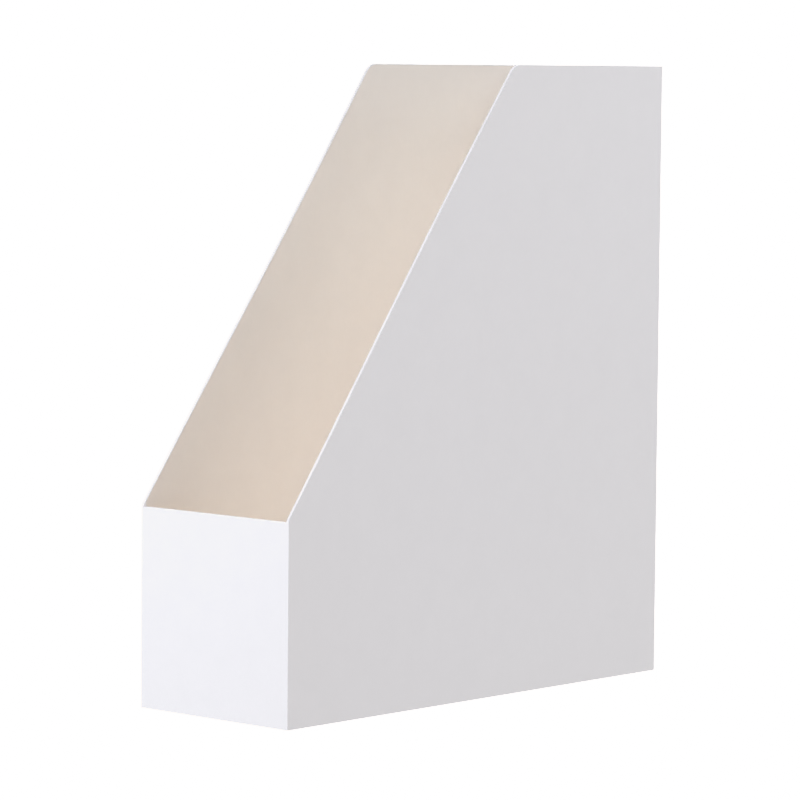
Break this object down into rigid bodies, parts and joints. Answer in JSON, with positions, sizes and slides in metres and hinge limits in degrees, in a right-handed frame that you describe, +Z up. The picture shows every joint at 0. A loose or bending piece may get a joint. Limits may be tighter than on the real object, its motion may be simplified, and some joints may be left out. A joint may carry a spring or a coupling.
{
  "type": "magazine file holder",
  "caption": "Upright open-topped magazine file with a low front and sloping sides, in white paper-covered board with a pale warm beige paper lining.",
  "frame": {"origin": "centre of the rectangle that the holder stands on, at the base sheet's underside", "axes": "+Z up, the low front faces -Y, the tall back faces +Y, +X to the right of someone facing the front"},
  "size_m": [0.1, 0.28, 0.318],
  "materials": {
    "cover_paper": "matt white covering paper, smooth with a faint tooth, slightly cool",
    "lining_paper": "matt lining paper of a pale warm ivory with a faint fibre, which looks beige where light bounces between the walls",
    "infill_paper": "plain cream paper, hidden behind the lining",
    "stay_tape": "gummed brown kraft tape, hidden under the cover",
    "greyboard": "solid recycled greyboard with flecks, hidden under the cover"
  },
  "bodies": {
    "root": {"side_board_left": "greyboard", "side_board_right": "greyboard", "front_board": "greyboard", "back_board": "greyboard", "base_board": "greyboard", "corner_stay_front_left": "stay_tape", "corner_stay_front_right": "stay_tape", "corner_stay_back_left": "stay_tape", "corner_stay_back_right": "stay_tape", "base_stay_left": "stay_tape", "base_stay_right": "stay_tape", "base_stay_front": "stay_tape", "base_stay_back": "stay_tape", "cover_paper": "cover_paper", "infill_left": "infill_paper", "infill_right": "infill_paper", "infill_front": "infill_paper", "infill_back": "infill_paper", "infill_base": "infill_paper", "lining_left": "lining_paper", "lining_right": "lining_paper", "lining_front": "lining_paper", "lining_back": "lining_paper", "lining_base": "lining_paper", "base_sheet": "cover_paper"}
  },
  "joints": []
}
